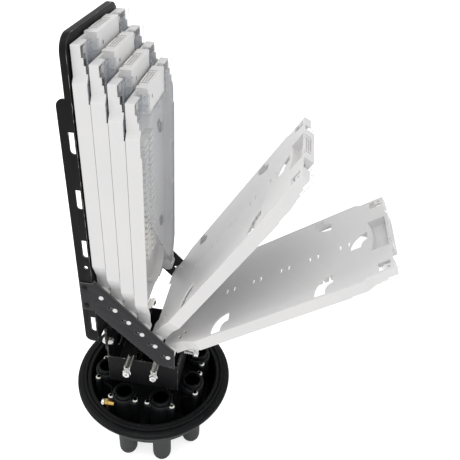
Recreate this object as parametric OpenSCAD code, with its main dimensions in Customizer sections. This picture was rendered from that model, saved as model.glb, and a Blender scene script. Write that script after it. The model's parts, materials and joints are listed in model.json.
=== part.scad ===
// Dome-type fibre optic splice closure, shown with its dome lifted off.
// A round moulded base with eight closed cable ports carries a folded steel
// frame. Six splice trays hinge one behind another on the frame's two sloping
// hinge plates, and each tray has splice holders and a clear cover.
// Millimetres. +Z is up and the trays open towards -Y. The origin is on the
// axis of the base, in the flat underside from which the ports hang.

/* [Base] */
// Diameter of the sealing flange
flange_d = 210; // [190:1:230]
// Height of the flange face above the underside of the body
flange_z = 46; // [44:1:60]
// Diameter of the dish inside the flange
dish_d = 171; // [168:1:174]
// Depth of the dish below the flange face
dish_depth = 40; // [36:1:42]
// Length of the ports below the underside
port_l = 60; // [40:1:80]
// Outside diameter of a port
port_d = 25; // [22:0.5:26]
// Bore of a port
port_bore_d = 20; // [16:0.5:21]
// Radius of the circle that the ports stand on
port_circle_r = 63; // [62:0.5:64]

/* [Frame] */
// Thickness of the folded steel sheet
sheet_t = 1.5; // [1.2:0.1:1.6]
// Height of the back plate's top edge above the flange face
frame_h = 480; // [460:1:520]
// Depth of the slack wall behind the back plate
slack_depth = 14; // [10:1:20]
// Distance from the middle to a hinge plate's inner face
hinge_plate_x = 69.6; // [69.4:0.1:71]

/* [Trays] */
// Half the width of a tray
tray_half_w = 68.6; // [66:0.1:68.8]
// Length of a tray above its hinge line
tray_l = 279; // [270:1:285]
// Depth of a tray's side wall
tray_depth = 14.6; // [13:0.1:14.7]
// Wall thickness of a tray
tray_wall = 1.5; // [1.2:0.1:2]
// Step forwards from one hinge line to the next
hinge_step_y = 15; // [15:0.1:16]
// Step down from one hinge line to the next
hinge_step_z = 16; // [15.5:0.1:17]
// Diameter of a hinge hole
hinge_hole_d = 5.6; // [5:0.1:7]
// Forward tilt of the fifth tray
tilt_5 = 31; // [20:1:36]
// Forward tilt of the sixth tray
tilt_6 = 54; // [48:1:70]

/* [Hidden] */
$fn = 48;

// base
flange_r = flange_d / 2;
dish_r = dish_d / 2;
port_r = port_d / 2;
floor_z = flange_z - dish_depth;
skirt_r = 85;
collar_z = flange_z + 11;
collar_t = 7;
collar_ring_r = 15.6;
tube_top_z = collar_z + 12;
port_tube_r = 15;
port_neck_r = 12.8;
port_closed_t = 8;
seal_r = 94;
seal_wire_r = 2.4;
port_angles = [for (k = [0:7]) 22.5 + 45 * k];
screw_out = 7.3;
screw_side = 16;
ear_r = 4.4;
ear_t = 4;
head_room_r = 4.2;

// earth terminal
earth_x = -74;
earth_y = 46;
earth_z = flange_z + 13.2;
earth_l = 12.5;
earth_bar_r = 2.8;
earth_pad_z = flange_z - 2;

// lower bracket
bracket_z = tube_top_z + 3;
bracket_x = 47.5;
bracket_front_y = -44;
bracket_back_y = 46.8;
bracket_top_z = flange_z + 70;
standoff_at = 30;
standoff_r = 5;
upstand_top_z = flange_z + 118;

// back frame
back_y = bracket_back_y;
frame_top_z = flange_z + frame_h;
slack_top_z = flange_z + 425;
slack_low_z = flange_z + 120;
side_x = hinge_plate_x;
corner_r = 16;
lip_depth = 5;
bolt_xs = [-42, -16, 16, 42];
bolt_z = flange_z + 92;
washer_r = 4.8;

// hinge line
hinge_y1 = 37.5;
hinge_z1 = flange_z + 193;
hinge_hole_r = hinge_hole_d / 2;
peg_r = hinge_hole_r - 0.05;
tilts = [0, 0, 0, 0, tilt_5, tilt_6];

// tray details, in a tray laid flat with its back down
back_gap = 7.5;
narrow_half_w = tray_half_w - 8.6;
top_half_w = tray_half_w - 4.1;
block_half_w = 31;
block_v = 255;
block_depth = 12;
pocket_half_w = 25.5;
tongue_half_w = 17;
slit_w = 2.2;
post_v = 262;
post_in = 47;
post_depth = 8.6;
opening_x = 62;
opening_r = [9.5, 22];
cover_w = 12.6;
cover_t = 1.2;
holder_l = 34;
holder_pitch = 37;
holder_x = -21.5;
holder_half_w = 16.5;
holder_gap = 3;
holder_first_v = 100.5;
cover_leg_v = 264;
cover_leg_z = 5;

// clamps on the cable strength members
clamp_w = 7.5;
clamp_reach = 15.5;
clamp_drop = 10;
clamp_hole_r = 2.5;
clamp_side = 17;
clamp_t = 1.5;

// ---------- base ----------

module port_outside(a) {
    rotate([0, 0, a]) translate([port_circle_r, 0, -port_l]) {
        intersection() {
            translate([0, 0, port_r - 0.5]) sphere(r = port_r);
            cylinder(r = port_r + 1, h = port_r - 0.5);
        }
        translate([0, 0, port_r - 0.5]) cylinder(r = port_r, h = port_l - port_r + 1);
        translate([0, 0, port_l]) cylinder(r = port_tube_r, h = collar_z);
    }
}

// the direction in which a port's two collar screws lie outside its centre
function side_of(a) = 90 * round(a / 90);
function screw_at(a, s) = [
    port_circle_r * cos(a) + screw_out * cos(side_of(a)) - s * screw_side * sin(side_of(a)),
    port_circle_r * sin(a) + screw_out * sin(side_of(a)) + s * screw_side * cos(side_of(a))
];

module base_profile() {
    polygon([
        [0, 0], [skirt_r - 3, 0], [skirt_r, 3],
        [flange_r - 13, flange_z - 10], [flange_r - 2, flange_z - 8],
        [flange_r, flange_z - 6.5], [flange_r, flange_z - 4], [flange_r - 0.7, flange_z - 2.5],
        [flange_r - 2, flange_z - 1.3], [flange_r - 4, flange_z - 0.5], [flange_r - 6, flange_z],
        [dish_r + 1.5, flange_z], [dish_r, flange_z - 1.5], [dish_r - 5.5, floor_z + 4],
        [dish_r - 9.5, floor_z], [0, floor_z]
    ]);
}

module base_shell() {
    color([0.06, 0.065, 0.07]) difference() {
        union() {
            rotate_extrude($fn = 96) base_profile();
            for (a = port_angles) port_outside(a);
            for (a = port_angles) rotate([0, 0, a]) translate([port_circle_r, 0, collar_z - 1])
                cylinder(r = port_neck_r, h = tube_top_z - collar_z + 1);
            for (a = port_angles, s = [-1, 1]) translate([screw_at(a, s).x, screw_at(a, s).y, floor_z - 1])
                cylinder(r = ear_r - 0.2, h = collar_z - floor_z + 1);
            for (x = [-1, 1], y = [-1, 1]) translate([x * standoff_at, y * standoff_at, floor_z - 1])
                cylinder(r = 9, h = 7);
            translate([earth_x + 2.5, earth_y - 3, earth_pad_z - 14]) cylinder(r = 4, h = 14);
        }
        translate([0, 0, flange_z - 3]) difference() {
            cylinder(r = seal_r + 2.6, h = 4, $fn = 96);
            translate([0, 0, -1]) cylinder(r = seal_r - 2.6, h = 6, $fn = 96);
        }
        for (a = port_angles) rotate([0, 0, a]) translate([port_circle_r, 0, port_closed_t - port_l])
            cylinder(r = port_bore_d / 2, h = tube_top_z + port_l);
        for (a = port_angles, s = [-1, 1]) translate([screw_at(a, s).x, screw_at(a, s).y, collar_z - 14])
            cylinder(r = 1.6, h = 16);
        for (x = [-1, 1], y = [-1, 1]) translate([x * standoff_at, y * standoff_at, floor_z - 2])
            cylinder(r = 2.5, h = 9);
    }
}

module seal_ring() {
    color([0.03, 0.03, 0.03]) rotate_extrude($fn = 96)
        translate([seal_r, flange_z - 3 + seal_wire_r]) circle(r = seal_wire_r, $fn = 24);
}

module collar_plate(a) {
    difference() {
        union() {
            rotate([0, 0, a]) translate([port_circle_r, 0, 0]) cylinder(r = collar_ring_r, h = collar_t);
            for (s = [-1, 1]) translate([screw_at(a, s).x, screw_at(a, s).y, 0])
                cylinder(r = ear_r, h = ear_t);
            translate([port_circle_r * cos(a), port_circle_r * sin(a), 0]) rotate([0, 0, side_of(a)])
                translate([screw_out - ear_r, -screw_side, 0]) cube([2 * ear_r, 2 * screw_side, ear_t]);
        }
        rotate([0, 0, a]) translate([port_circle_r, 0, -1]) cylinder(r = port_neck_r + 0.1, h = collar_t + 2);
        for (s = [-1, 1]) translate([screw_at(a, s).x, screw_at(a, s).y, 0]) {
            translate([0, 0, -1]) cylinder(r = 2, h = collar_t + 2);
            translate([0, 0, ear_t]) cylinder(r = head_room_r, h = collar_t);
        }
    }
}

module port_collars() {
    color([0.11, 0.12, 0.13]) translate([0, 0, collar_z]) for (a = port_angles) collar_plate(a);
}

// a pan-head screw, its head's underside at z = 0 and its shank below
module pan_screw(head_r, head_h, shank_r, shank_l) {
    difference() {
        union() {
            cylinder(r = head_r, h = head_h * 0.6);
            translate([0, 0, head_h * 0.6]) cylinder(r1 = head_r, r2 = head_r * 0.7, h = head_h * 0.4);
            translate([0, 0, -shank_l]) cylinder(r = shank_r, h = shank_l + 0.5);
        }
        for (q = [0, 90]) rotate([0, 0, q]) translate([-head_r * 0.6, -head_r * 0.12, head_h * 0.5])
            cube([head_r * 1.2, head_r * 0.24, head_h]);
    }
}

module collar_screws() {
    color("silver") for (a = port_angles, s = [-1, 1])
        translate([screw_at(a, s).x, screw_at(a, s).y, collar_z + ear_t])
            pan_screw(3.8, 3, 1.6, 15);
}

// earth terminal: a brass foot on a moulded pad carries a round bar past the nearest collar
module earth_post() {
    color("goldenrod") translate([earth_x, earth_y, 0]) difference() {
        union() {
            translate([0, 0, earth_z]) rotate([90, 0, 0]) cylinder(r = earth_bar_r, h = earth_l);
            translate([-2, -5, earth_z - earth_bar_r]) cube([5.5, 5, 2 * earth_bar_r]);
            translate([1.8, -4.4, earth_pad_z]) cylinder(r = 1.8, h = earth_z - earth_pad_z);
        }
        translate([0, 1, earth_z]) rotate([90, 0, 0]) cylinder(r = 1.5, h = 12);
    }
}

module earth_screw() {
    color("silver") translate([earth_x, earth_y + 0.1, earth_z]) rotate([-90, 0, 0])
        pan_screw(4, 4, 1.45, 9);
}

// ---------- frame ----------

module standoffs() {
    color("silver") for (x = [-1, 1], y = [-1, 1])
        translate([x * standoff_at, y * standoff_at, floor_z + 6]) difference() {
            cylinder(r = standoff_r, h = bracket_z - floor_z - 6, $fn = 6);
            translate([0, 0, bracket_z - floor_z - 20]) cylinder(r = 2, h = 20);
        }
}

module bracket_screws() {
    color("silver") for (x = [-1, 1], y = [-1, 1])
        translate([x * standoff_at, y * standoff_at, bracket_z + sheet_t]) pan_screw(4.5, 3.4, 2, 12);
}

// a folded tray of sheet: floor, two sides, a front and a taller back
module lower_bracket() {
    w = 2 * bracket_x;
    d = bracket_back_y - bracket_front_y;
    side_h = bracket_top_z - bracket_z;
    color([0.09, 0.09, 0.1]) difference() {
        union() {
            translate([-bracket_x, bracket_front_y, bracket_z]) cube([w, d, sheet_t]);
            for (x = [-bracket_x, bracket_x - sheet_t])
                translate([x, bracket_front_y, bracket_z]) cube([sheet_t, d, side_h]);
            translate([-bracket_x, bracket_front_y, bracket_z]) cube([w, sheet_t, side_h]);
            translate([-bracket_x, bracket_back_y - sheet_t, bracket_z])
                cube([w, sheet_t, upstand_top_z - bracket_z]);
        }
        translate([0, 0, bracket_z - 1]) cylinder(r = 24, h = 4);
        for (x = [-1, 1], y = [-1, 1]) translate([x * standoff_at, y * standoff_at, bracket_z - 1])
            cylinder(r = 2.3, h = 4);
        for (x = bolt_xs) translate([x, bracket_back_y + 1, bolt_z])
            rotate([90, 0, 0]) cylinder(r = 2.7, h = 4);
        translate([0, bracket_back_y + 1, flange_z + 60]) rotate([90, 0, 0]) cylinder(r = 14, h = 4);
    }
}

// back plate seen from the front, with rounded top corners and a narrow tongue below
module back_plate_outline() {
    low_z = flange_z + 82;
    half = side_x;
    difference() {
        union() {
            translate([-half, slack_low_z])
                square([2 * half, frame_top_z - corner_r - slack_low_z]);
            translate([-half + corner_r, frame_top_z - corner_r - 1])
                square([2 * (half - corner_r), corner_r + 1]);
            for (s = [-1, 1]) translate([s * (half - corner_r), frame_top_z - corner_r]) circle(r = corner_r);
            translate([-bracket_x, low_z]) square([2 * bracket_x, slack_low_z - low_z + 1]);
        }
        for (z = [flange_z + 250, flange_z + 330, flange_z + 410], s = [-1, 1])
            translate([s * 30 - 8, z]) square([16, 4]);
        for (x = bolt_xs) translate([x, bolt_z]) circle(r = 2.7);
    }
}

// the turned edge that runs round the top of the back plate
module back_plate_lip() {
    half = side_x;
    straight_z = slack_top_z - 6;
    top = frame_top_z - corner_r;
    for (s = [-1, 1]) {
        translate([s > 0 ? half - sheet_t : -half, back_y, straight_z])
            cube([sheet_t, lip_depth + sheet_t, top - straight_z]);
        translate([s * (half - corner_r), back_y + sheet_t + lip_depth, top]) rotate([90, 0, 0])
            intersection() {
                difference() {
                    cylinder(r = corner_r, h = lip_depth + sheet_t);
                    translate([0, 0, -1]) cylinder(r = corner_r - sheet_t, h = lip_depth + sheet_t + 2);
                }
                translate([s > 0 ? 0 : -corner_r - 1, 0, 0]) cube([corner_r + 1, corner_r + 1, 40]);
            }
    }
    translate([-half + corner_r, back_y, frame_top_z - sheet_t])
        cube([2 * (half - corner_r), lip_depth + sheet_t, sheet_t]);
}

// one slack wall seen from the side, y to the right and z up
module slack_wall_outline() {
    y0 = back_y;
    y1 = back_y + sheet_t + slack_depth;
    r = 8;
    difference() {
        union() {
            translate([y0, slack_low_z]) square([y1 - y0 - r, slack_top_z - slack_low_z]);
            translate([y0, slack_low_z + r])
                square([y1 - y0, slack_top_z - slack_low_z - 2 * r]);
            for (z = [slack_low_z + r, slack_top_z - r]) translate([y1 - r, z]) circle(r = r);
        }
        for (z = [148, 258, 319.5, 381.5]) slack_slot(y0 + 3.2, flange_z + z);
        translate([y0 + 5, flange_z + 233]) circle(r = 2);
    }
}

module slack_slot(y, z) {
    w = 7;
    translate([y - w / 2, z - 11 + w / 2]) square([w, 22 - w / 2]);
    translate([y, z - 11 + w / 2]) circle(r = w / 2);
}

module side_sheet(x, t) {
    translate([x, 0, 0]) rotate([90, 0, 90]) linear_extrude(t) children();
}

module back_frame() {
    color([0.07, 0.07, 0.08]) difference() {
        union() {
            translate([0, back_y + sheet_t, 0]) rotate([90, 0, 0]) linear_extrude(sheet_t)
                back_plate_outline();
            back_plate_lip();
            side_sheet(-side_x, sheet_t) slack_wall_outline();
            side_sheet(side_x - sheet_t, sheet_t) slack_wall_outline();
        }
        for (z = rivet_zs) translate([-side_x - 1, rivet_y, z]) rotate([0, 90, 0])
            cylinder(r = 1.8, h = 2 * side_x + 2);
    }
}

module frame_bolts() {
    color("silver") for (x = bolt_xs)
        translate([x, back_y + sheet_t, bolt_z]) rotate([-90, 0, 0]) {
            cylinder(r = washer_r, h = 1.2);
            translate([0, 0, 1.2]) pan_screw(3.9, 3.4, 2.5, 10.2);
        }
}

module frame_nuts() {
    color("silver") for (x = bolt_xs)
        translate([x, bracket_back_y - sheet_t, bolt_z]) rotate([90, 0, 0]) difference() {
            union() {
                cylinder(r = washer_r, h = 1.2);
                translate([0, 0, 1.2]) cylinder(r = 4.6, h = 3.8, $fn = 6);
            }
            translate([0, 0, -1]) cylinder(r = 2.55, h = 8);
        }
}

// ---------- hinge plates ----------

rivet_y = back_y + 9;
rivet_zs = [hinge_z1 - 14, hinge_z1 + 12];
key_slot_l = 9;
key_slot_w = 3.4;
key_slot_up = 13;

function hinge_at(k) = [hinge_y1 - (k - 1) * hinge_step_y, hinge_z1 - (k - 1) * hinge_step_z];

// seen from the side, y to the right and z up
module hinge_plate_outline() {
    a = hinge_at(1);
    b = hinge_at(6);
    difference() {
        union() {
            polygon([
                [a.x + 6, a.y + 23.5], [b.x - 2.5, b.y + 16], [b.x - 7.5, b.y + 12],
                [b.x - 7.5, b.y - 18.5], [b.x + 12, b.y - 15], [a.x + 8.5, a.y - 25],
                [a.x + 8.5, a.y + 20]
            ]);
            translate([a.x + 8, rivet_zs[0] - 7])
                square([rivet_y + 5 - a.x - 8, rivet_zs[1] - rivet_zs[0] + 14]);
        }
        for (k = [1:6]) translate(hinge_at(k)) circle(r = hinge_hole_r);
        for (k = [2:6]) translate(hinge_at(k)) rotate([0, 0, key_slot_up]) {
            translate([0, -key_slot_w / 2]) square([key_slot_l - key_slot_w / 2, key_slot_w]);
            translate([key_slot_l - key_slot_w / 2, 0]) circle(r = key_slot_w / 2);
        }
        translate([b.x - 2.5, b.y - 14.5]) circle(r = 1.6);
        for (z = rivet_zs) translate([rivet_y, z]) circle(r = 1.8);
    }
}

module near_hinge_plate() {
    color([0.1, 0.1, 0.11]) side_sheet(-side_x - sheet_t, sheet_t) hinge_plate_outline();
}

module far_hinge_plate() {
    color([0.1, 0.1, 0.11]) side_sheet(side_x, sheet_t) hinge_plate_outline();
}

module hinge_rivets() {
    color("dimgray") for (s = [0, 180], z = rivet_zs) translate([0, 0, z]) rotate([0, 0, s])
        translate([side_x - sheet_t - 1, s == 0 ? rivet_y : -rivet_y, 0]) rotate([0, 90, 0]) {
            cylinder(r = 3.2, h = 1);
            cylinder(r = 1.75, h = 2 * sheet_t + 2);
            translate([0, 0, 2 * sheet_t + 1]) cylinder(r1 = 3.4, r2 = 2.2, h = 1.3);
        }
}

// ---------- clamps on the bracket ----------

// a clamp that hooks over a sheet edge along x = 0 and reaches towards -x, screw hole along x
module clamp_body() {
    top_z = bracket_top_z;
    difference() {
        union() {
            translate([-clamp_reach, -clamp_w / 2, top_z]) cube([clamp_reach + 4.2, clamp_w, clamp_t]);
            translate([2.7, -clamp_w / 2, top_z - 8]) cube([clamp_t, clamp_w, 9]);
            translate([-clamp_reach, -clamp_w / 2, top_z - clamp_drop])
                cube([clamp_t, clamp_w, clamp_drop + 1]);
            for (y = [-clamp_w / 2, clamp_w / 2 - 1.2]) translate([-clamp_reach, y, top_z + 1])
                cube([clamp_reach + 4.2, 1.2, 3.2]);
        }
        translate([-clamp_reach - 1, 0, top_z - clamp_drop / 2]) rotate([0, 90, 0])
            cylinder(r = clamp_hole_r, h = clamp_t + 2);
    }
}

// head outside the clamp's leg, shank towards the bracket, axis along x
module clamp_screw_shape() {
    translate([-clamp_reach - 0.1, 0, bracket_top_z - clamp_drop / 2]) rotate([0, -90, 0]) {
        cylinder(r = 5.2, h = 1.2);
        translate([0, 0, 1]) difference() {
            cylinder(r = 4.6, h = 4, $fn = 6);
            translate([0, 0, 2.4]) cylinder(r = 2, h = 3, $fn = 6);
        }
        translate([0, 0, -14]) cylinder(r = clamp_hole_r - 0.05, h = 14.5);
    }
}

// where a clamp stands: 1 and 2 near side, 3 and 4 front, 5 and 6 far side
clamp_places = [
    [-bracket_x, clamp_side, 0], [-bracket_x, -clamp_side, 0],
    [-clamp_side, bracket_front_y, 90], [clamp_side, bracket_front_y, 90],
    [bracket_x, -clamp_side, 180], [bracket_x, clamp_side, 180]
];

module at_clamp(k) {
    p = clamp_places[k - 1];
    translate([p.x, p.y, 0]) rotate([0, 0, p.z]) children();
}

module near_clamps() {
    color("silver") for (k = [1, 2]) at_clamp(k) clamp_body();
}

module front_clamps() {
    color("silver") for (k = [3, 4]) at_clamp(k) clamp_body();
}

module far_clamps() {
    color("silver") for (k = [5, 6]) at_clamp(k) clamp_body();
}

module clamp_screw(k) {
    color("gainsboro") at_clamp(k) clamp_screw_shape();
}

// ---------- trays ----------

// puts a tray drawn flat (x across, y along, z from its back to its front) on its hinge
module on_hinge(k) {
    h = hinge_at(k);
    translate([0, h.x, h.y]) rotate([tilts[k - 1], 0, 0])
        translate([0, back_gap, 0]) rotate([90, 0, 0]) children();
}

// half outline of a tray, moved in by i
function tray_side(i) = [
    [narrow_half_w - 5 - i, -5 + i], [narrow_half_w - i, i], [narrow_half_w - i, 22 + i * 0.2],
    [tray_half_w - i, 42 + i * 0.2], [tray_half_w - i, 246 - i * 0.4],
    [top_half_w - i, 252 - i * 0.4], [top_half_w - i, tray_l - i]
];
function tray_outline(i) = concat(
    tray_side(i), [for (n = [6:-1:0]) [-tray_side(i)[n].x, tray_side(i)[n].y]]
);

module tray_ring(v0, v1, depth) {
    linear_extrude(depth) intersection() {
        difference() {
            polygon(tray_outline(0));
            polygon(tray_outline(tray_wall));
        }
        translate([-100, v0]) square([200, v1 - v0]);
    }
}

module quarter_opening(cx, cy, r0, r1, from) {
    translate([cx, cy, -1]) rotate([0, 0, from]) rotate_extrude(angle = 90)
        translate([r0, 0]) square([r1 - r0, 4]);
}

module guide_wall(cx, cy, r, from, sweep, h) {
    translate([cx, cy, 1]) rotate([0, 0, from]) rotate_extrude(angle = sweep)
        translate([r, 0]) square([1.2, h]);
}

// the block at a tray's tip: a spring tongue with finger ridges between two slits
module latch_block() {
    difference() {
        translate([-block_half_w, block_v, 0]) cube([2 * block_half_w, tray_l + 2 - block_v, block_depth]);
        for (s = [-1, 1]) translate([s * tongue_half_w - slit_w / 2, tray_l - 1.5, -1])
            cube([slit_w, 5, block_depth - 2.5]);
        for (w = [1.8, 4.2, 6.6]) translate([-tongue_half_w + 3, tray_l + 0.2, w])
            cube([2 * tongue_half_w - 6, 3, 1.4]);
        for (x = [-24, 10]) translate([x, tray_l - 1, -1]) cube([4, 5, 2.4]);
    }
}

// the hollow behind the tongue, open at the tray's back, with a curved lower side
module latch_pocket() {
    difference() {
        translate([-pocket_half_w, block_v + 2, -1])
            cube([2 * pocket_half_w, tray_l - 1.5 - block_v - 2, block_depth - 1.5]);
        translate([0, 182, -2]) cylinder(r = 80, h = 20, $fn = 96);
    }
    translate([-18, 266, 0]) cube([4, 4, block_depth + 1]);
}

// the side wall beyond the shoulder steps down twice to the tip
module corner_edge(s) {
    x0 = s > 0 ? top_half_w - tray_wall : -top_half_w;
    for (e = [[253, 8, 12], [260, 8, 10.4], [267, tray_l - 267, 8.6]])
        translate([x0, e.x, 0]) cube([tray_wall, e.y, e.z]);
}

module corner_post(s) {
    x0 = s > 0 ? post_in : -top_half_w;
    w = top_half_w - post_in;
    translate([x0, tray_l - tray_wall, 0]) cube([w, tray_wall, post_depth]);
    translate([s * post_in - 0.7, post_v, 0]) cube([1.4, tray_l - post_v, post_depth - 2]);
    translate([s > 0 ? post_in : -post_in - 5, post_v + 6, post_depth - 3.2]) cube([5, 6, 1.2]);
}

// round finger openings near one edge, left open on the side of the tray's wall
module edge_openings(s) {
    x0 = opening_x;
    for (v = [86, 215]) {
        quarter_opening(s * x0, v, opening_r[0], opening_r[1], s > 0 ? 180 : 270);
        translate([s > 0 ? x0 - 0.1 : -x0 - 3.9, v - opening_r[1], -1])
            cube([4, opening_r[1] - opening_r[0], 4]);
    }
}

module tray_body() {
    difference() {
        union() {
            linear_extrude(tray_wall) polygon(tray_outline(0));
            tray_ring(6, 228, tray_depth);
            tray_ring(227, 254, tray_depth - 1.2);
            for (s = [-1, 1]) corner_edge(s);
            latch_block();
            for (s = [-1, 1]) corner_post(s);
            for (s = [-1, 1]) translate([s > 0 ? narrow_half_w - 6 : -tray_half_w, 0, back_gap])
                rotate([0, 90, 0]) cylinder(r = 7, h = tray_half_w - narrow_half_w + 6);
            for (s = [-1, 1]) translate([s > 0 ? narrow_half_w - 6 : -narrow_half_w, 0, 0])
                cube([6, 8, back_gap]);
            guide_wall(0, 62, 33, 200, 140, 9);
            guide_wall(0, 232, 24, 15, 150, 9);
            for (s = [-1, 1], v = [70, 125, 180, 228])
                translate([s > 0 ? tray_half_w - 7.5 : -tray_half_w, v, cover_w - 1.2]) cube([7.5, 6, 1.2]);
        }
        latch_pocket();
        for (s = [-1, 1]) edge_openings(s);
        intersection() {
            quarter_opening(-13, 259, 11, 23, 270);
            translate([-60, 200, -2]) cube([120, block_v + 1.5 - 200, 8]);
        }
        for (n = [0:4], d = [-5, 5]) translate([-4, 82 + n * holder_pitch + d - 1, -1])
            cube([8, 2, tray_wall + 2]);
        for (s = [-1, 1]) {
            translate([s > 0 ? post_in + 2 : -post_in - 14, post_v + 1, -1]) cube([12, 6, 4]);
            translate([s > 0 ? post_in + 2 : -post_in - 7, post_v + 6, -1]) cube([5, 8, 4]);
            translate([s > 0 ? post_in + 10 : -post_in - 13, post_v + 10, -1]) cube([3, 3, 4]);
            translate([s * 52, 18, -1]) cylinder(r = 2.2, h = 4);
            translate([s * 46, 24, -1]) cylinder(r = 2.2, h = 4);
        }
        translate([-36, -10, -1]) cube([72, 14, 4]);
    }
    for (s = [-1, 1]) translate([s > 0 ? tray_half_w - 1 : -side_x - sheet_t - 0.6, 0, back_gap])
        rotate([0, 90, 0]) cylinder(r = peg_r, h = side_x + sheet_t + 0.6 - tray_half_w + 1);
}

module tray(k) {
    color("white") on_hinge(k) tray_body();
}

// clear cover: one corner is cut off along a slanted line, for the fibres to come in
module cover_outline() {
    g = 0.25;
    a = tray_half_w - tray_wall - g;
    b = top_half_w - tray_wall - g;
    polygon([
        [-a, 172], [50, 9], [narrow_half_w - 3, 9], [narrow_half_w - 3, 22], [a, 43], [a, 245],
        [b, 251], [b, tray_l + 1], [post_in, tray_l + 1], [post_in, tray_l - 3],
        [block_half_w + 0.5, tray_l - 3],
        [block_half_w + 0.5, block_v - 0.5], [-block_half_w - 0.5, block_v - 0.5],
        [-block_half_w - 0.5, tray_l - 3], [-post_in, tray_l - 3], [-post_in, tray_l + 1],
        [-b, tray_l + 1], [-b, 251], [-a, 245]
    ]);
}

// in each window beside the latch block a leg carries a clear plate deeper in the tray
module cover_leg(s) {
    x0 = s > 0 ? block_half_w + 0.5 : -post_in + 1;
    w = post_in - block_half_w - 1.5;
    translate([x0, cover_leg_v, cover_leg_z]) cube([w, 1.2, cover_w - cover_leg_z + 0.2]);
    translate([x0, cover_leg_v - 10, cover_leg_z]) cube([w, 21, 1.2]);
}

module cover(k) {
    color([0.8, 0.85, 0.88, 0.4]) on_hinge(k) {
        translate([0, 0, cover_w]) linear_extrude(cover_t) cover_outline();
        for (s = [-1, 1]) cover_leg(s);
    }
}

// a comb of five thick ribs that holds splice sleeves between them
module splice_holder() {
    ribs = 5;
    rib_t = 4.4;
    pitch = (holder_l - rib_t) / (ribs - 1);
    translate([-holder_half_w, -holder_l / 2, tray_wall]) cube([2 * holder_half_w, holder_l, 1.2]);
    for (n = [0:ribs - 1], x = [holder_gap, -holder_half_w])
        translate([x, -holder_l / 2 + n * pitch, tray_wall + 1])
            cube([holder_half_w - holder_gap, rib_t, 6.5]);
}

module splice_holders(k) {
    color("whitesmoke") on_hinge(k) for (n = [0:3])
        translate([holder_x, holder_first_v + n * holder_pitch, 0]) splice_holder();
}

base_shell();
seal_ring();
port_collars();
collar_screws();
earth_post();
earth_screw();
standoffs();
lower_bracket();
bracket_screws();
back_frame();
frame_bolts();
frame_nuts();
near_hinge_plate();
far_hinge_plate();
hinge_rivets();
near_clamps();
far_clamps();
front_clamps();
for (k = [1:6]) {
    clamp_screw(k);
    tray(k);
    cover(k);
    splice_holders(k);
}
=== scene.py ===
# A dome-type fibre optic splice closure with its dome lifted off. The moulded
# base stands on its cable ports and carries a folded steel frame, on which six
# splice trays hinge one behind another. Two of them are tilted forwards.
import json
import math

import bpy
from mathutils import Matrix, Vector

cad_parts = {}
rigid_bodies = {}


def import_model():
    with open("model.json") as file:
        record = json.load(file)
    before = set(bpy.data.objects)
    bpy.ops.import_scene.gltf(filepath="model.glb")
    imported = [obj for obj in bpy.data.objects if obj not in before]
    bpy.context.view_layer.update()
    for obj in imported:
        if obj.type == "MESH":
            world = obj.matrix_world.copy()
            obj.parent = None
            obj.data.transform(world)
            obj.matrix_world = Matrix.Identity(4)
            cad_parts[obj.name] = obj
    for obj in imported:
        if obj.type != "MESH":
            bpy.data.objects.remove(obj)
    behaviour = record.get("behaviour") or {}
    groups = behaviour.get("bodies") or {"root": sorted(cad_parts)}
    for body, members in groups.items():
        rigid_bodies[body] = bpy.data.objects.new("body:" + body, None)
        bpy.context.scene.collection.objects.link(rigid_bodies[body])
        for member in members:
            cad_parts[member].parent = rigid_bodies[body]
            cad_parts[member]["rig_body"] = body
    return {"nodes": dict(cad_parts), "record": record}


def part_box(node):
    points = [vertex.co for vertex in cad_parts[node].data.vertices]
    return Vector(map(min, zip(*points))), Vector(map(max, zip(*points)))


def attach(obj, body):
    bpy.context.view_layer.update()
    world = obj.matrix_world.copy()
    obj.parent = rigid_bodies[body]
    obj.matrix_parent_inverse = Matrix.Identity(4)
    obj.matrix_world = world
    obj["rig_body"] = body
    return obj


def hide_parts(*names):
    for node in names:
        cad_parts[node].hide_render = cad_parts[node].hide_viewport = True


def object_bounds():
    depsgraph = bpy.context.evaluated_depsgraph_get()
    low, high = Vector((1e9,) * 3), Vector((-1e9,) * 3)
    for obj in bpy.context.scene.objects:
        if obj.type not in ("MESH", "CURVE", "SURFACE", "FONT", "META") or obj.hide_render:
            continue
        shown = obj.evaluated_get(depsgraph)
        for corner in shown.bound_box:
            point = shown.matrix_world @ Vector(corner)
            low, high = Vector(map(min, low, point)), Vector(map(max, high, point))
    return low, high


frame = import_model()
cad_low, cad_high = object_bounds()

# ---------------------------------------------------------------- view
# The closure is looked at from the side of its hinges and from well above, so
# that the backs of the two tilted trays and the dish in the base both show.
view_azimuth = math.radians(-80.86)
view_height = math.radians(33.3)
view_roll = math.radians(1.85)
view_from = Vector((-0.4867, -0.1399, 0.6583))

back = Vector((
    math.sin(view_azimuth) * math.cos(view_height),
    -math.cos(view_azimuth) * math.cos(view_height),
    math.sin(view_height),
))
across = Vector((math.cos(view_azimuth), math.sin(view_azimuth), 0))
upward = back.cross(across)
level = Matrix((across, upward, back)).transposed()

camera = bpy.data.objects.new("camera", bpy.data.cameras.new("camera"))
camera.data.sensor_width = 36
camera.data.lens = 42.25
camera.data.shift_x = 0.0586
camera.data.shift_y = -0.0605
camera.data.clip_start = 0.01
turned = level @ Matrix.Rotation(view_roll, 3, "Z")
camera.matrix_world = Matrix.Translation(view_from) @ turned.to_4x4()
bpy.context.scene.collection.objects.link(camera)
bpy.context.scene.camera = camera
bpy.context.scene.view_settings.view_transform = "Standard"

# ---------------------------------------------------------------- light
# Soft light of a white studio: an even bright room all round, with soft boxes
# overhead, behind the closure, on its left and in front of it.
room = bpy.data.worlds.new("studio")
room.use_nodes = True
room.node_tree.nodes["Background"].inputs["Color"].default_value = (0.985, 0.985, 0.98, 1)
room.node_tree.nodes["Background"].inputs["Strength"].default_value = 0.80
bpy.context.scene.world = room
closure_middle = Vector((0, 0, 0.2))


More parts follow.
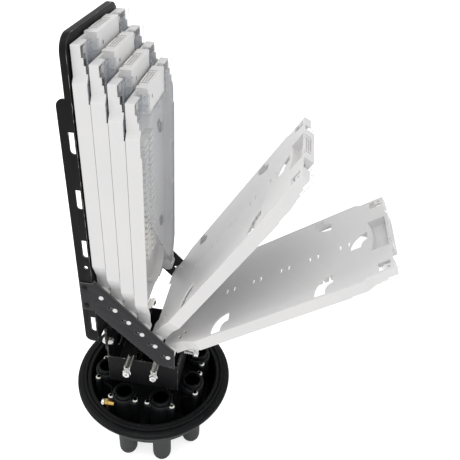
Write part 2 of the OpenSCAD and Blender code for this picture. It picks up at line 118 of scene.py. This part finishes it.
def soft_box(name, place, width, power):
    """A square area light that faces the middle of the closure."""
    lamp = bpy.data.lights.new(name, "AREA")
    lamp.size = width
    lamp.energy = power
    box = bpy.data.objects.new(name, lamp)
    box.location = place
    box.rotation_euler = (closure_middle - Vector(place)).to_track_quat("-Z", "Y").to_euler()
    bpy.context.scene.collection.objects.link(box)


soft_box("left_soft_box", (-1.9, 0.6, 1.4), 1.2, 0.8)
soft_box("front_soft_box", (-0.5, -2.0, 1.0), 1.0, 3)
soft_box("back_soft_box", (-0.3, 1.7, 1.7), 0.8, 9)
soft_box("top_soft_box", (-0.7, 0.1, 2.3), 1.0, 9)

# ---------------------------------------------------------------- floor
# A white table top that runs out of sight. It glows a little, like a light
# table, so that the closure casts no grey shadow on it.


class Signal:
    """What one socket of a finish gives out. Arithmetic on it adds Math nodes to the finish."""

    def __init__(self, finish, socket):
        self.finish = finish
        self.socket = socket

    def sum_of(self, operation, first, second):
        return self.finish.node("ShaderNodeMath", {"operation": operation}, {0: first, 1: second})

    def __add__(self, other):
        return self.sum_of("ADD", self, other)

    def __radd__(self, other):
        return self.sum_of("ADD", other, self)

    def __sub__(self, other):
        return self.sum_of("SUBTRACT", self, other)

    def __rsub__(self, other):
        return self.sum_of("SUBTRACT", other, self)

    def __mul__(self, other):
        return self.sum_of("MULTIPLY", self, other)

    def __rmul__(self, other):
        return self.sum_of("MULTIPLY", other, self)


class Finish:
    """A material. Fixed values go straight on the shader's sockets and patterns come from nodes."""

    def __init__(self, name, **fixed):
        self.material = bpy.data.materials.new(name)
        self.material.use_nodes = True
        self.tree = self.material.node_tree
        self.shader = self.tree.nodes["Principled BSDF"]
        for socket, value in fixed.items():
            self.set(socket.replace("_", " "), value)
        self.place = self.node("ShaderNodeTexCoord", out="Object")

    def set(self, socket, value):
        self.join(self.shader.inputs[socket], value)

    def join(self, socket, value):
        if isinstance(value, Signal):
            self.tree.links.new(value.socket, socket)
        elif isinstance(value, tuple) and socket.type == "RGBA":
            socket.default_value = (*value, 1)
        else:
            socket.default_value = value

    def node(self, kind, settings=None, sockets=None, out=0):
        """One node of any type: its settings, then its sockets, and the output that is wanted."""
        node = self.tree.nodes.new(kind)
        for name, value in (settings or {}).items():
            setattr(node, name, value)
        for socket, value in (sockets or {}).items():
            self.join(node.inputs[socket], value)
        return Signal(self, node.outputs[out])

    def grain(self, size, detail=2.0, stretch=(1, 1, 1)):
        """Noise from 0 to 1 with spots about size metres across, drawn out where stretch is small."""
        place = self.node("ShaderNodeVectorMath", {"operation": "MULTIPLY"}, {0: self.place, 1: stretch})
        return self.node("ShaderNodeTexNoise", {}, {"Vector": place, "Scale": 1 / size, "Detail": detail})

    def blend(self, share, first, second):
        """The first colour where share is 0 and the second where it is 1."""
        mix = {"data_type": "RGBA", "clamp_factor": True}
        return self.node("ShaderNodeMix", mix, {0: share, 6: first, 7: second}, out=2)

    def band(self, value, low, high):
        """0 below low and 1 above high, with a smooth change between them."""
        ease = {"interpolation_type": "SMOOTHSTEP"}
        return self.node("ShaderNodeMapRange", ease, {"Value": value, "From Min": low, "From Max": high})

    def axis(self, name):
        return self.node("ShaderNodeSeparateXYZ", {}, {0: self.place}, out=name)

    def relief(self, height, depth):
        """Makes the surface rise and fall with height by about depth metres."""
        self.set("Normal", self.node("ShaderNodeBump", {}, {"Height": height, "Distance": depth}))


floor_finish = Finish("table_top", Roughness=0.6, Specular_IOR_Level=0.2)
floor_finish.set("Base Color", floor_finish.blend(
    floor_finish.grain(0.4), (0.95, 0.95, 0.95), (0.97, 0.97, 0.97)))
seen_directly = floor_finish.node("ShaderNodeLightPath", out="Is Camera Ray")
floor_finish.set("Emission Color", floor_finish.blend(
    seen_directly, (0.22, 0.22, 0.22), (0.65, 0.65, 0.65)))
floor_finish.set("Emission Strength", 1.0)
table_gap = 0.0004
bpy.ops.mesh.primitive_plane_add(size=16, location=(0, 0, cad_low.z - table_gap))
table_top = bpy.context.object
table_top.name = "table_top"
table_top.data.materials.append(floor_finish.material)

# ---------------------------------------------------------------- moulded base
# The base is one glass-filled black moulding: flange, dish and eight closed
# ports. The outside has a fine spark-eroded texture and turns grey with
# handling, the flange is polished for its seal and the dish is glossy. The
# skirt under the flange is painted a lighter grey than the flange top: partly
# its duller surface, partly painted light from the bright floor below it.


def finished(node, finishes, width, sharp=32.0, join_flats=True):
    """A welded copy of a CAD node that stands for it, with edges rounded by width.

    Edges turned by more than sharp degrees are rounded and get the last of the
    finishes. join_flats first makes one face of the triangles of a flat side.
    """
    source = frame["nodes"][node]
    piece = bpy.data.objects.new("finished_" + node, source.data.copy())
    bpy.context.scene.collection.objects.link(piece)
    bpy.ops.object.select_all(action="DESELECT")
    piece.select_set(True)
    bpy.context.view_layer.objects.active = piece
    bpy.ops.object.mode_set(mode="EDIT")
    bpy.ops.mesh.select_all(action="SELECT")
    bpy.ops.mesh.remove_doubles(threshold=0.000002)
    if join_flats:
        bpy.ops.mesh.dissolve_limited(angle_limit=math.radians(0.4))
    bpy.ops.object.mode_set(mode="OBJECT")
    piece.data.materials.clear()
    for finish in finishes:
        piece.data.materials.append(finish.material)
    for face in piece.data.polygons:
        face.material_index = 0
    rounding = piece.modifiers.new("rounding", "BEVEL")
    rounding.width = width
    rounding.segments = 2
    rounding.limit_method = "ANGLE"
    rounding.angle_limit = math.radians(sharp)
    rounding.use_clamp_overlap = False
    rounding.material = len(finishes) - 1
    bpy.ops.object.modifier_apply(modifier="rounding")
    bpy.ops.object.shade_smooth_by_angle(angle=math.radians(sharp))
    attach(piece, source["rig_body"])
    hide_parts(node)


base_finish = Finish("black_moulding", Specular_IOR_Level=0.12)
flat_place = base_finish.node(
    "ShaderNodeVectorMath", {"operation": "MULTIPLY"}, {0: base_finish.place, 1: (1, 1, 0)})
out_from_axis = base_finish.node(
    "ShaderNodeVectorMath", {"operation": "LENGTH"}, {0: flat_place}, out="Value")
base_height = base_finish.axis("Z")
dish_rim = 0.0862
dish_floor = 0.004
flange_underside = 0.036
inside_rim = 1 - base_finish.band(out_from_axis, dish_rim, dish_rim + 0.0006)
in_dish = inside_rim * base_finish.band(base_height, dish_floor, dish_floor + 0.002)
on_skirt = 1 - base_finish.band(base_height, flange_underside, flange_underside + 0.005)
erosion = base_finish.grain(0.0005, 3)
haze = base_finish.grain(0.03, 3)
scuff = base_finish.band(base_finish.grain(0.006, 5, (1, 1, 0.3)), 0.60, 0.72)
# Skirt colour painted lighter than the flange top: partly a duller surface, partly painted light bounced
# up from the floor.
outside = base_finish.blend(on_skirt, (0.0035, 0.004, 0.0045), (0.050, 0.051, 0.053))
handled = base_finish.blend(0.08 * haze + 0.10 * scuff, outside, (0.085, 0.086, 0.088))
base_finish.set("Base Color", base_finish.blend(in_dish, handled, (0.005, 0.0055, 0.006)))
base_finish.set("Roughness", 0.30 + 0.10 * haze + 0.20 * on_skirt + 0.08 * scuff - 0.14 * in_dish)
base_finish.relief(erosion * (1 - 0.85 * in_dish) + 0.6 * base_finish.grain(0.012, 1), 0.00005)
finished("base_shell", [base_finish], 0.0007)

# ---------------------------------------------------------------- seal
# A round cord of black rubber lies in the flange's groove, where the dome
# presses on it. It is matt and a little dusty.
seal_finish = Finish("seal_rubber", Specular_IOR_Level=0.1)
seal_dust = seal_finish.grain(0.008, 4)
seal_finish.set("Base Color", seal_finish.blend(seal_dust, (0.004, 0.004, 0.005), (0.012, 0.012, 0.013)))
seal_finish.set("Roughness", 0.45 + 0.2 * seal_dust)
seal_finish.relief(seal_finish.grain(0.0005), 0.00004)
seal_ring = frame["nodes"]["seal_ring"]
seal_ring.data.materials.clear()
seal_ring.data.materials.append(seal_finish.material)

# ---------------------------------------------------------------- collars
# Each port's mouth in the dish is ringed by a moulded collar with two ears,
# which squeezes the cable seal. They are shinier than the base.
collar_finish = Finish("collar_moulding", Specular_IOR_Level=0.2)
collar_haze = collar_finish.grain(0.02, 3)
collar_finish.set("Base Color", collar_finish.blend(
    collar_haze, (0.006, 0.007, 0.008), (0.016, 0.017, 0.019)))
collar_finish.set("Roughness", 0.20 + 0.14 * collar_haze)
collar_finish.relief(collar_finish.grain(0.0006), 0.00003)
finished("port_collars", [collar_finish], 0.0006)

# ---------------------------------------------------------------- zinc-plated fasteners
# Screws, nuts and standoffs are zinc-plated steel with a faint warm bloom. The
# plating is clouded, a little rougher in patches and finely scratched.
zinc_finish = Finish("zinc_plate", Metallic=1.0)
zinc_cloud = zinc_finish.grain(0.004, 4)
zinc_bloom = zinc_finish.band(zinc_finish.grain(0.009, 2), 0.45, 0.75)
zinc_grey = zinc_finish.blend(zinc_cloud, (0.66, 0.65, 0.62), (0.86, 0.86, 0.85))
zinc_finish.set("Base Color", zinc_finish.blend(zinc_bloom, zinc_grey, (0.72, 0.67, 0.56)))
zinc_finish.set("Roughness", 0.16 + 0.20 * zinc_cloud)
zinc_finish.relief(zinc_finish.grain(0.0004, 3) + zinc_cloud, 0.00002)
for node in ("collar_screws", "earth_screw", "standoffs", "bracket_screws", "frame_bolts", "frame_nuts"):
    finished(node, [zinc_finish], 0.0002, 28.0)

# ---------------------------------------------------------------- earth terminal
# A turned brass bar on a brass foot. Fine rings from the lathe run round it and
# it has begun to tarnish.
brass_finish = Finish("turned_brass", Metallic=1.0)
brass_cloud = brass_finish.grain(0.003, 3)
lathe_rings = brass_finish.grain(0.0003, 1, (0.02, 1, 0.02))
brass_finish.set("Base Color", brass_finish.blend(brass_cloud, (0.50, 0.30, 0.07), (0.74, 0.50, 0.17)))
brass_finish.set("Roughness", 0.18 + 0.12 * brass_cloud + 0.10 * lathe_rings)
brass_finish.relief(lathe_rings, 0.00002)
finished("earth_post", [brass_finish], 0.0003)

# ---------------------------------------------------------------- black sheet steel
# The bracket and the back frame are folded from sheet and coated with fine
# black powder. The coat is thin along cut edges, where the steel shows.
coat_finish = Finish("powder_coat", Specular_IOR_Level=0.12)
coat_speck = coat_finish.grain(0.0008, 3)
coat_cloud = coat_finish.grain(0.05, 3)
coat_rub = coat_finish.band(coat_finish.grain(0.012, 6, (1, 1, 0.25)), 0.62, 0.75)
coat_finish.set("Base Color", coat_finish.blend(
    0.5 * coat_speck + 0.3 * coat_rub, (0.004, 0.004, 0.005), (0.018, 0.018, 0.019)))
coat_finish.set("Roughness", 0.36 + 0.14 * coat_cloud - 0.08 * coat_rub)
coat_finish.relief(coat_speck, 0.00007)

edge_finish = Finish("thin_coat_on_edge", Specular_IOR_Level=0.4)
edge_wear = edge_finish.band(edge_finish.grain(0.010, 5), 0.48, 0.62)
edge_finish.set("Base Color", edge_finish.blend(edge_wear, (0.03, 0.03, 0.032), (0.30, 0.30, 0.29)))
edge_finish.set("Metallic", 0.7 * edge_wear)
edge_finish.set("Roughness", 0.42 - 0.1 * edge_wear)
for node in ("lower_bracket", "back_frame"):
    finished(node, [coat_finish, edge_finish], 0.0003)

# ---------------------------------------------------------------- hinge plates
# Two sloping plates, riveted to the back frame's sides, hold the trays' pegs in
# six holes each, five of them key-shaped. Their coat is coarser and paler than
# the frame's.
plate_finish = Finish("grey_powder_coat", Specular_IOR_Level=0.12)
plate_speck = plate_finish.grain(0.0009, 3)
plate_cloud = plate_finish.grain(0.03, 3)
plate_finish.set("Base Color", plate_finish.blend(
    plate_speck, (0.016, 0.016, 0.018), (0.048, 0.048, 0.051)))
plate_finish.set("Roughness", 0.38 + 0.16 * plate_speck + 0.1 * plate_cloud)
plate_finish.relief(plate_speck, 0.00008)
plate_edge_finish = Finish("pale_plate_edge", Specular_IOR_Level=0.4)
plate_edge_wear = plate_edge_finish.grain(0.008, 4)
plate_edge_finish.set("Base Color", plate_edge_finish.blend(
    plate_edge_wear, (0.10, 0.10, 0.10), (0.26, 0.26, 0.25)))
plate_edge_finish.set("Roughness", 0.35 + 0.2 * plate_edge_wear)
for node in ("near_hinge_plate", "far_hinge_plate"):
    finished(node, [plate_finish, plate_edge_finish], 0.00025)
finished("hinge_rivets", [coat_finish], 0.0002)

# ---------------------------------------------------------------- clamps
# Six channel-shaped steel clamps hook over the bracket's edges. They are
# pressed from plated strip, with long scratches from the press tool.
clamp_finish = Finish("pressed_strip", Metallic=1.0)
press_scratch = clamp_finish.grain(0.0007, 3, (0.12, 0.12, 1))
clamp_cloud = clamp_finish.grain(0.006, 3)
clamp_finish.set("Base Color", clamp_finish.blend(clamp_cloud, (0.62, 0.61, 0.58), (0.84, 0.83, 0.80)))
clamp_finish.set("Roughness", 0.18 + 0.14 * press_scratch + 0.08 * clamp_cloud)
clamp_finish.relief(press_scratch, 0.00003)
for node in ("near_clamps", "far_clamps", "front_clamps"):
    finished(node, [clamp_finish], 0.0003)

# ---------------------------------------------------------------- clamp screws
# Nickel-plated socket screws press the cable's strength member into each
# clamp. The rolled thread behind the tip is a row of sharp rings.
nickel_finish = Finish("nickel_plate", Metallic=1.0)
nickel_cloud = nickel_finish.grain(0.003, 3)
nickel_finish.set("Base Color", nickel_finish.blend(nickel_cloud, (0.70, 0.70, 0.69), (0.90, 0.90, 0.89)))
nickel_finish.set("Roughness", 0.12 + 0.14 * nickel_cloud)
nickel_finish.relief(nickel_finish.grain(0.0003, 2), 0.00001)

joint_of = {joint["child"]: joint for joint in frame["record"]["behaviour"]["joints"]}
thread_pitch = 0.0008
thread_crest = 0.00262
thread_root = 0.00240
thread_half_turns = 28
plain_tip = 0.0004
for k in range(1, 7):
    finished(f"clamp_screw_{k}", [nickel_finish], 0.0002, 28.0)
    joint = joint_of[f"clamp_screw_{k}"]
    low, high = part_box(f"clamp_screw_{k}")
    outwards = Vector(joint["axis"])
    middle = Vector(joint["pos_m"])
    tip = min((Vector(low) - middle).dot(outwards), (Vector(high) - middle).dot(outwards))
    start = middle + outwards * (tip + plain_tip)
    bpy.ops.object.select_all(action="DESELECT")
    bpy.ops.mesh.primitive_circle_add(
        vertices=24,
        radius=thread_root,
        location=start,
        rotation=outwards.to_track_quat("Z", "Y").to_euler(),
    )
    thread = bpy.context.object
    thread.name = f"clamp_screw_thread_{k}"
    bpy.ops.object.transform_apply(location=True, rotation=True, scale=True)
    bpy.ops.object.mode_set(mode="EDIT")
    for turn in range(thread_half_turns):
        grow = thread_crest / thread_root if turn % 2 == 0 else thread_root / thread_crest
        bpy.ops.mesh.extrude_region_move(TRANSFORM_OT_translate={"value": outwards * (thread_pitch / 2)})
        ring_middle = start + outwards * (thread_pitch / 2) * (turn + 1)
        bpy.ops.transform.resize(value=(grow, grow, grow), center_override=ring_middle)
    bpy.ops.mesh.select_all(action="SELECT")
    bpy.ops.mesh.normals_make_consistent(inside=False)
    bpy.ops.object.mode_set(mode="OBJECT")
    thread.data.materials.append(nickel_finish.material)
    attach(thread, f"clamp_screw_{k}")

# ---------------------------------------------------------------- trays
# Six trays moulded in white ABS. The faces are satin, the plastic is a touch
# warmer in broad patches, and the wide backs are slightly wavy from cooling.
tray_finish = Finish("white_moulding", Specular_IOR_Level=0.35)
tray_cloud = tray_finish.grain(0.07, 2)
tray_flow = tray_finish.grain(0.02, 2, (1, 0.3, 0.3))
tray_finish.set("Base Color", tray_finish.blend(tray_cloud, (0.69, 0.685, 0.69), (0.745, 0.735, 0.73)))
tray_finish.set("Roughness", 0.30 + 0.14 * tray_cloud + 0.06 * tray_flow)
tray_finish.relief(0.15 * tray_finish.grain(0.0006, 2) + tray_flow, 0.00006)
tray_edge_finish = Finish("white_moulding_edge", Specular_IOR_Level=0.4)
tray_edge_finish.set("Base Color", tray_edge_finish.blend(
    tray_edge_finish.grain(0.02), (0.74, 0.74, 0.735), (0.80, 0.795, 0.79)))
tray_edge_finish.set("Roughness", 0.28 + 0.1 * tray_edge_finish.grain(0.004))
for k in range(1, 7):
    finished(f"tray_{k}", [tray_finish, tray_edge_finish], 0.0002, 18.0, False)

# ---------------------------------------------------------------- covers
# Each tray has a cover moulded in clear styrene, with one corner cut off where
# the fibres come in. It is smeared by handling and looks blue-grey on its edges.
cover_finish = Finish("clear_moulding", IOR=1.49, Specular_IOR_Level=0.5)
cover_smear = cover_finish.grain(0.03, 4)
cover_finish.set("Base Color", cover_finish.blend(cover_smear, (0.33, 0.35, 0.40), (0.42, 0.45, 0.50)))
cover_finish.set("Roughness", 0.06 + 0.12 * cover_smear)
cover_finish.set("Alpha", 0.15 + 0.10 * cover_smear)
cover_edge_finish = Finish("clear_moulding_edge", IOR=1.49)
cover_edge_grain = cover_edge_finish.grain(0.01)
cover_edge_finish.set("Base Color", cover_edge_finish.blend(
    cover_edge_grain, (0.30, 0.34, 0.39), (0.44, 0.48, 0.53)))
cover_edge_finish.set("Roughness", 0.1 + 0.1 * cover_edge_grain)
cover_edge_finish.set("Alpha", 0.55 + 0.1 * cover_edge_grain)
for k in range(1, 7):
    finished(f"cover_{k}", [cover_finish, cover_edge_finish], 0.0003, 18.0)

# ---------------------------------------------------------------- splice holders
# Four combs snap into each tray's floor and grip the splice sleeves between
# thick ribs. Their white is creamier than the tray's and is also painted
# brighter, painted light that makes up for the shade under the covers.
holder_finish = Finish("holder_moulding", Specular_IOR_Level=0.35)
holder_cloud = holder_finish.grain(0.02)
# Holder colours: partly a creamier tint, partly painted light lifting them against the shade under the
# covers.
holder_finish.set("Base Color", holder_finish.blend(
    holder_cloud, (0.78, 0.775, 0.75), (0.86, 0.85, 0.82)))
holder_finish.set("Roughness", 0.42 + 0.15 * holder_cloud)
holder_finish.relief(holder_finish.grain(0.0006), 0.00002)
for k in range(1, 7):
    finished(f"splice_holders_{k}", [holder_finish], 0.0002, 18.0, False)
